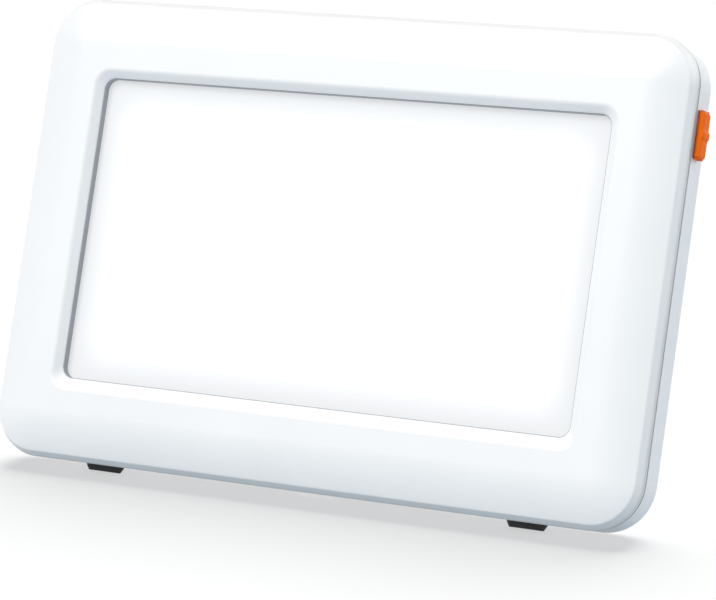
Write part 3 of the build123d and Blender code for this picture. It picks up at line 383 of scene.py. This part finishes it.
def solid_material(name, colour, roughness, metallic=0.0, grain=0.0004, depth=0.000004,
                   uneven=0.04, shift=0.02, seam=None, **sockets):
    """A procedural material for a rigid piece.

    grain is the size and depth the height of its fine texture, in metres; uneven is how much its
    roughness wanders and shift how much its colour does. seam is shade painted towards
    the parting line: where it starts and ends, both as depths in mm, and its darkest share.
    """
    material = bpy.data.materials.new(name)
    nodes, link = new_nodes(material)
    output = nodes.new("ShaderNodeOutputMaterial")
    shader = nodes.new("ShaderNodeBsdfPrincipled")
    link(shader.outputs[0], output.inputs["Surface"])
    shader.inputs["Metallic"].default_value = metallic
    for socket, value in sockets.items():
        shader.inputs[socket.replace("_", " ")].default_value = value
    place = nodes.new("ShaderNodeTexCoord").outputs["Object"]

    broad = nodes.new("ShaderNodeTexNoise")
    broad.inputs["Scale"].default_value = BROAD_SCALE
    broad.inputs["Detail"].default_value = BROAD_DETAIL
    link(place, broad.inputs["Vector"])
    wander = nodes.new("ShaderNodeMapRange")
    wander.inputs["To Min"].default_value = roughness - uneven
    wander.inputs["To Max"].default_value = roughness + uneven
    link(broad.outputs["Fac"], wander.inputs["Value"])
    link(wander.outputs[0], shader.inputs["Roughness"])

    dark = [channel * (1 - shift) for channel in colour]
    pale = [min(1.0, channel * (1 + shift)) for channel in colour]
    coloured = mixed_colour(nodes, link, broad.outputs["Fac"], (*dark, 1), (*pale, 1))
    # Painted shade: the colour darkens towards the parting line, as the crease's shade would
    if seam:
        start, end, darkest = seam
        darker = nodes.new("ShaderNodeVectorMath")
        darker.operation = "SCALE"
        link(coloured, darker.inputs[0])
        depth_in = lamp_coordinate(nodes, link, BACK)
        link(ramp(nodes, link, depth_in, start, end, 1.0, darkest), darker.inputs["Scale"])
        coloured = darker.outputs[0]
    link(coloured, shader.inputs["Base Color"])

    fine = nodes.new("ShaderNodeTexNoise")
    fine.inputs["Scale"].default_value = 1 / grain
    fine.inputs["Detail"].default_value = FINE_DETAIL
    link(place, fine.inputs["Vector"])
    bump = nodes.new("ShaderNodeBump")
    bump.inputs["Distance"].default_value = depth
    link(fine.outputs["Fac"], bump.inputs["Height"])
    link(bump.outputs[0], shader.inputs["Normal"])
    return material


def diffuser_material():
    """Opal acrylic, lit from within. Its glow fades over the last few millimetres."""
    material = solid_material("diffuser_opal", DIFFUSER_BASE, 0.42, depth=0.000001)
    nodes, link = material.node_tree.nodes, material.node_tree.links.new
    shader = next(node for node in nodes if node.bl_idname == "ShaderNodeBsdfPrincipled")
    across = lamp_coordinate(nodes, link, RIGHT)
    up = lamp_coordinate(nodes, link, UP)
    up = combine(nodes, link, "SUBTRACT", up, WINDOW_RISE)
    nearest, farthest = DIFFUSER_FADE
    lit = []
    for value, half in ((across, WINDOW_WIDTH / 2), (up, WINDOW_HEIGHT / 2)):
        away = combine(nodes, link, "ABSOLUTE", value, 0.0)
        lit.append(ramp(nodes, link, away, half - farthest, half - nearest, 1.0, 0.0))
    both = combine(nodes, link, "MULTIPLY", *lit)
    glow = nodes.new("ShaderNodeMapRange")
    glow.inputs["To Min"].default_value = DIFFUSER_EDGE_GLOW
    glow.inputs["To Max"].default_value = DIFFUSER_GLOW
    link(both, glow.inputs["Value"])
    link(glow.outputs[0], shader.inputs["Emission Strength"])
    shader.inputs["Emission Color"].default_value = DIFFUSER_TINT
    return material


PLASTICS = {
    # The bezel's colour is darkened towards its parting line as painted shade.
    "bezel_white": dict(colour=(0.92, 0.925, 0.93), roughness=0.30, depth=0.000002,
                        seam=PAINTED_SEAM_SHADE),
    "cover_white": dict(colour=(0.84, 0.86, 0.885), roughness=0.50, depth=0.00002),
    "leg_white": dict(colour=(0.84, 0.86, 0.885), roughness=0.50, depth=0.00002),
    # Also the liner's colour, which paints the window wall's shade.
    "gasket_grey": dict(colour=(0.385, 0.40, 0.43), roughness=0.8),
    "clear_acrylic": dict(colour=(0.9, 0.95, 1.0), roughness=0.05, Transmission_Weight=1.0),
    "reflector_white": dict(colour=(0.9, 0.9, 0.9), roughness=0.5),
    "carrier_grey": dict(colour=(0.57, 0.58, 0.6), roughness=0.5),
    "strip_white": dict(colour=(0.8, 0.82, 0.8), roughness=0.4),
    "led_phosphor": dict(colour=(0.9, 0.7, 0.12), roughness=0.3),
    "insulator_black": dict(colour=(0.02, 0.02, 0.022), roughness=0.5),
    "board_green": dict(colour=(0.01, 0.10, 0.04), roughness=0.35),
    "ferrite_black": dict(colour=(0.03, 0.03, 0.032), roughness=0.6),
    "chip_black": dict(colour=(0.015, 0.015, 0.015), roughness=0.5),
    "plug_ivory": dict(colour=(0.8, 0.74, 0.58), roughness=0.4),
    "lead_white": dict(colour=(0.8, 0.8, 0.8), roughness=0.5),
    "lead_black": dict(colour=(0.02, 0.02, 0.02), roughness=0.5),
    "lead_red": dict(colour=(0.45, 0.01, 0.01), roughness=0.5),
    "socket_black": dict(colour=(0.012, 0.012, 0.013), roughness=0.4),
    "foot_rubber": dict(colour=(0.012, 0.013, 0.016), roughness=0.65, depth=0.00001),
    "washer_nylon": dict(colour=(0.75, 0.73, 0.66), roughness=0.4),
    "knob_orange": dict(colour=(1.0, 0.165, 0.003), roughness=0.6, Specular_IOR_Level=0.12),
    "slider_black": dict(colour=(0.02, 0.02, 0.02), roughness=0.4),
}
METALS = {
    "spreader_aluminium": dict(colour=(0.75, 0.76, 0.77), roughness=0.4),
    "screw_steel": dict(colour=(0.55, 0.56, 0.58), roughness=0.3),
    "pin_steel": dict(colour=(0.6, 0.6, 0.61), roughness=0.25),
    "can_steel": dict(colour=(0.65, 0.65, 0.65), roughness=0.35),
    "winding_copper": dict(colour=(0.6, 0.2, 0.06), roughness=0.3),
    "can_aluminium": dict(colour=(0.75, 0.75, 0.77), roughness=0.3),
    "pin_nickel": dict(colour=(0.65, 0.62, 0.56), roughness=0.2),
    "nut_nickel": dict(colour=(0.62, 0.6, 0.56), roughness=0.25),
    "tag_brass": dict(colour=(0.7, 0.5, 0.2), roughness=0.3),
}
MATERIALS = {name: solid_material(name, **finish) for name, finish in PLASTICS.items()}
MATERIALS.update({name: solid_material(name, metallic=1.0, **finish)
                  for name, finish in METALS.items()})
MATERIALS["diffuser_opal"] = diffuser_material()


def finish_cad_nodes():
    """Gives each CAD node the material that the record's slot for it names."""
    for part in frame["record"]["subparts"]:
        mesh = frame["nodes"][part["node"]].data
        mesh.materials.clear()
        mesh.materials.append(MATERIALS[part["material_slot"]])
        soften(frame["nodes"][part["node"]], CAD_SHARP)


# -------------------------------------------------------------------------------- mesh tools

def rounded_rectangle(half_width, half_height, radius, divisions):
    """Points round a rounded rectangle about the origin, anticlockwise, as (across, up)."""
    corner_steps, side_steps = divisions
    corners = [(1, -1, -pi / 2), (1, 1, 0.0), (-1, 1, pi / 2), (-1, -1, pi)]
    points = []
    for side, row, start in corners:
        centre = (side * (half_width - radius), row * (half_height - radius))
        for step in range(corner_steps + 1):
            angle = start + step / corner_steps * pi / 2
            points.append((centre[0] + radius * cos(angle), centre[1] + radius * sin(angle)))
    spaced = []
    for index, point in enumerate(points):
        spaced.append(point)
        if index % (corner_steps + 1) == corner_steps:
            following = points[(index + 1) % len(points)]
            for step in range(1, side_steps):
                share = step / side_steps
                spaced.append(tuple(a + (b - a) * share for a, b in zip(point, following)))
    return spaced


def circle(radius):
    """Points round a circle about the origin, as (across, up)."""
    turns = [step / ROUND_STEPS * 2 * pi for step in range(ROUND_STEPS)]
    return [(radius * cos(turn), radius * sin(turn)) for turn in turns]


def mixed(first, second, share):
    """The numbers of two lists, mixed."""
    return [a + (b - a) * share for a, b in zip(first, second)]


def curve(first, corner, last, steps=CURVE_STEPS):
    """Lists of numbers along a curve that starts and ends on the two legs of a corner."""
    return [mixed(mixed(first, corner, step / steps), mixed(corner, last, step / steps),
                  step / steps) for step in range(steps + 1)]


def add_loft(form, rings, closed=False):
    """Joins rings of equally many points with faces. Open ends are closed with a face each."""
    rows = [[form.verts.new(point) for point in ring] for ring in rings]
    count = len(rows[0])
    pairs = list(zip(rows, rows[1:])) + ([(rows[-1], rows[0])] if closed else [])
    for near, far in pairs:
        for index in range(count):
            following = (index + 1) % count
            form.faces.new((near[index], near[following], far[following], far[index]))
    if not closed:
        form.faces.new(list(reversed(rows[0])))
        form.faces.new(rows[-1])


def new_piece(name, form, slot, body):
    """Turns a form drawn in the upright frame into a piece of a slot that rides on a body."""
    bmesh.ops.recalc_face_normals(form, faces=form.faces)
    form.transform(LAMP)
    mesh = bpy.data.meshes.new(name)
    form.to_mesh(mesh)
    form.free()
    mesh.materials.append(MATERIALS[slot])
    piece = bpy.data.objects.new(name, mesh)
    bpy.context.scene.collection.objects.link(piece)
    soften(piece, PIECE_SHARP)
    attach(piece, body)
    return piece


def soften(piece, sharp):
    """Smooth shading with sharp edges past an angle in degrees, led by the larger faces."""
    piece.data.shade_smooth()
    piece.data.set_sharp_from_angle(angle=radians(sharp))
    normals = piece.modifiers.new("normals", "WEIGHTED_NORMAL")
    normals.keep_sharp = True
    normals.weight = FACE_WEIGHT


# -------------------------------------------------------------------------------- front bezel
# A ring of the bezel is its half width, half height, corner radius, rise and depth.

def case_ring(inset, depth):
    """Ring an inset inside the case outline."""
    return [CASE_WIDTH / 2 - inset, CASE_HEIGHT / 2 - inset, CASE_CORNER - inset, 0.0, depth]


def window_ring(grow, depth):
    """Ring a little wider than the window."""
    return [WINDOW_WIDTH / 2 + grow, WINDOW_HEIGHT / 2 + grow, WINDOW_CORNER + grow, WINDOW_RISE,
            depth]


def ring_points(ring):
    """Points of a ring in the upright frame."""
    half_width, half_height, radius, rise, depth = ring
    outline = rounded_rectangle(half_width, half_height, radius, CASE_DIVISIONS)
    return [(across, depth, up + rise) for across, up in outline]


def along(first, second, distance):
    """The ring that lies a distance from the first towards the second, by inset and depth."""
    length = hypot(first[0] - second[0], first[4] - second[4])
    return mixed(first, second, distance / length)


def crown_rings():
    """The shallow curve from the flat of the face down to the edge."""
    run = CROWN_WIDTH - EDGE_INSET
    shares = [step / CROWN_STEPS for step in range(CROWN_STEPS + 1)]
    return [case_ring(CROWN_WIDTH - run * share, CROWN_DROP * share ** CROWN_BEND)
            for share in shares]


def outer_rings():
    """Crown, edge, side, rim and the short way in to the parting line."""
    crown = crown_rings()
    edge, rim = crown.pop(), case_ring(0, RIM_DEPTH)
    back = case_ring(BACK_EDGE_INSET, BEZEL_DEPTH)
    inside = case_ring(WALL, BEZEL_DEPTH)
    rings = list(crown)
    for before, corner, after, spread, steps in (
            (crown[-1], edge, rim, EDGE_SPREAD, CURVE_STEPS),
            (edge, rim, back, RIM_SPREAD, CURVE_STEPS),
            (rim, back, inside, BACK_EDGE_ROUND, SMALL_CURVE_STEPS)):
        rings += curve(along(corner, before, spread), corner, along(corner, after, spread), steps)
    return rings


def inner_rings():
    """Back of the rim, the hollow, and the rib that the gasket lies on."""
    return [case_ring(WALL, BEZEL_DEPTH), case_ring(WALL, BEZEL_DEPTH - LIP_REACH),
            case_ring(CAVITY_INSET, FACE_WALL), window_ring(RIB, FACE_WALL),
            window_ring(RIB, WINDOW_RECESS - GASKET_THICK),
            window_ring(0, WINDOW_RECESS - GASKET_THICK)]


def bevel_rings():
    """The window's slanted edge from its foot out to the face, with soft corners."""
    foot = window_ring(0, BEVEL_DEPTH)
    head = [WINDOW_WIDTH / 2 + BEVEL_SIDE, (WINDOW_HEIGHT + BEVEL_TOP + BEVEL_BOTTOM) / 2,
            WINDOW_CORNER + BEVEL_SIDE / 2, WINDOW_RISE + (BEVEL_TOP - BEVEL_BOTTOM) / 2, 0.0]
    face = [head[0] + BEVEL_SOFT, head[1] + BEVEL_SOFT, head[2] + BEVEL_SOFT, head[3], 0.0]
    wall = window_ring(0, BEVEL_DEPTH + BEVEL_LIP)
    rings = curve(wall, foot, along(foot, head, BEVEL_LIP), SMALL_CURVE_STEPS)
    return rings + curve(along(head, foot, BEVEL_SOFT), head, face)


def add_tube(form, x, z, radius, bore, front, back):
    """A round post along the depth with a bore from its back, as drawn inside the bezel."""
    sections = ((radius, front), (radius, back), (bore, back), (bore, front + WALL))
    add_loft(form, [[(x + across, depth, z + up) for across, up in circle(size)]
                    for size, depth in sections])


def front_bezel():
    """Shell of the bezel with its crown and bevelled window, and the posts and rib inside it."""
    form = bmesh.new()
    rings = outer_rings() + inner_rings() + bevel_rings()
    add_loft(form, [ring_points(ring) for ring in rings], closed=True)
    post_x, post_z = CASE_WIDTH / 2 - POST_INSET, CASE_HEIGHT / 2 - POST_INSET
    for side in (-1, 1):
        for row in (-1, 0, 1):
            add_tube(form, side * post_x, row * post_z, POST_RADIUS, POST_BORE, FACE_WALL,
                     POST_END)
    for column in (-1, 0, 1):
        for row in (-1, 1):
            add_tube(form, column * BOSS_X, WINDOW_RISE + row * BOSS_Z, BOSS_RADIUS, BOSS_BORE,
                     FACE_WALL, BOSS_END)
    inside, outside = CARRIER_CLEARANCE, CARRIER_CLEARANCE + RIB
    rib = [[CARRIER_WIDTH / 2 + grow, CARRIER_HEIGHT / 2 + grow, CARRIER_CORNER + grow,
            WINDOW_RISE, depth]
           for grow, depth in ((inside, FACE_WALL), (inside, CARRIER_REACH),
                               (outside, CARRIER_REACH), (outside, FACE_WALL))]
    add_loft(form, [ring_points(ring) for ring in rib], closed=True)
    piece = new_piece("bezel_shell", form, "bezel_white", "housing")
    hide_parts("front_bezel")


def window_gasket():
    """Grey gasket behind the window's edge, with a thin grey liner up its wall as painted shade."""
    wall_top = BEVEL_DEPTH + BEVEL_LIP
    back = WINDOW_RECESS
    front = WINDOW_RECESS - GASKET_THICK
    # The first rings stand a grey liner up the window's wall as painted shade; the last are the gasket.
    rings = [window_ring(-PAINTED_SHADE_LINER, back), window_ring(-PAINTED_SHADE_LINER, wall_top),
             window_ring(-PAINTED_SHADE_LINER_GAP, wall_top), window_ring(-PAINTED_SHADE_LINER_GAP, front),
             window_ring(GASKET_WIDTH, front), window_ring(GASKET_WIDTH, back)]
    form = bmesh.new()
    add_loft(form, [ring_points(ring) for ring in rings], closed=True)
    piece = new_piece("gasket_and_painted_shade_liner", form, "gasket_grey", "housing")
    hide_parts("window_gasket")


# ------------------------------------------------------------------------- knob and rubber feet

def switch_knob():
    """Rounded bar with a raised band across its middle, and the stem that enters the case."""
    low, high = upright_box("switch_knob")
    outside = high.x - KNOB_RIB
    inside = outside - KNOB_PROUD
    middle, half = (low.z + high.z) / 2, (high.z - low.z) / 2
    sections = []
    for step in range(KNOB_STEPS + 1):
        turn = pi / 2 * step / KNOB_STEPS
        sections.append((half - KNOB_END * (1 - cos(turn)), KNOB_ROUND * (1 - sin(turn)),
                         -KNOB_FALL * (1 - sin(turn))))
    sections += [(KNOB_BAND_HALF + KNOB_BAND_SLOPE - height * KNOB_BAND_SLOPE, 0.0,
                  KNOB_RIB * height * height * (3 - 2 * height))
                 for height in (step / KNOB_STEPS for step in range(KNOB_STEPS + 1))]
    sections = [(-away, inset, proud) for away, inset, proud in sections] + [
        (away, inset, proud) for away, inset, proud in reversed(sections)]
    form = bmesh.new()
    rings = []
    for away, inset, proud in sections:
        width = outside + proud - inside - 2 * inset
        depth = high.y - low.y - 2 * inset
        outline = rounded_rectangle(width / 2, depth / 2, KNOB_ROUND, KNOB_DIVISIONS)
        rings.append([((outside + proud + inside) / 2 + across, (low.y + high.y) / 2 + back,
                       middle + away) for across, back in outline])
    add_loft(form, rings)
    stem = rounded_rectangle(KNOB_STEM_DEPTH / 2, KNOB_STEM_LENGTH / 2, KNOB_ROUND / 2,
                             STEM_DIVISIONS)
    add_loft(form, [[(x, (low.y + high.y) / 2 + back, middle + up) for back, up in stem]
                    for x in (low.x, (inside + outside) / 2)])
    piece = new_piece("knob", form, "knob_orange", "switch")
    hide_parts("switch_knob")


def sole_height(depth, low, sole_front):
    """Z of the underside of a foot: flat in front, then parallel to the table."""
    slope = UP.y / UP.z
    return low + max(0.0, depth - sole_front) * slope


def rubber_foot(side):
    """Tapered pad with soft edges, its sole parallel to the table, and its peg in the case."""
    node = {-1: "foot_left", 1: "foot_right"}[side]
    low, high = upright_box(node)
    middle_x, middle_y = (low.x + high.x) / 2, (low.y + high.y) / 2
    half_width, half_depth = (high.x - low.x) / 2, (high.y - low.y) / 2
    top = low.z + FOOT_THICK
    sole_front = high.y - FOOT_SOLE
    steps = [(0.0, FOOT_TOP_ROUND), (FOOT_TOP_SHARE, 0.0), (0.5, FOOT_TAPER / 2)]
    for step in range(KNOB_STEPS + 1):
        turn = pi / 2 * step / KNOB_STEPS
        steps.append((1 - FOOT_ROUND / FOOT_THICK * (1 - sin(turn)),
                      FOOT_TAPER + FOOT_ROUND * (1 - cos(turn))))
    form = bmesh.new()
    rings = []
    for share, inset in steps:
        outline = rounded_rectangle(half_width - inset, half_depth - inset,
                                    half_depth - inset - FOOT_END_FLAT, FOOT_DIVISIONS)
        ring = []
        for across, back in outline:
            depth = middle_y + back
            sole = sole_height(depth, low.z, sole_front)
            ring.append((middle_x + across, depth, top + (sole - top) * share))
        rings.append(ring)
    add_loft(form, rings)
    peg = ((PEG_RADIUS, top), (PEG_RADIUS, high.z - 2 * PEG_HEAD),
           (PEG_RADIUS + PEG_HEAD, high.z - 2 * PEG_HEAD),
           (PEG_RADIUS + PEG_HEAD, high.z - PEG_HEAD), (PEG_RADIUS, high.z))
    add_loft(form, [[(middle_x + across, middle_y + back, height) for across, back in circle(size)]
                    for size, height in peg])
    piece = new_piece(f"rubber_{node}", form, "foot_rubber", "housing")
    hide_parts(node)


# ------------------------------------------------------------------------------------ making

bpy.context.scene.view_settings.view_transform = "Standard"
make_camera()
make_world()
make_suns(make_floor())
finish_cad_nodes()
front_bezel()
window_gasket()
switch_knob()
for side in (-1, 1):
    rubber_foot(side)
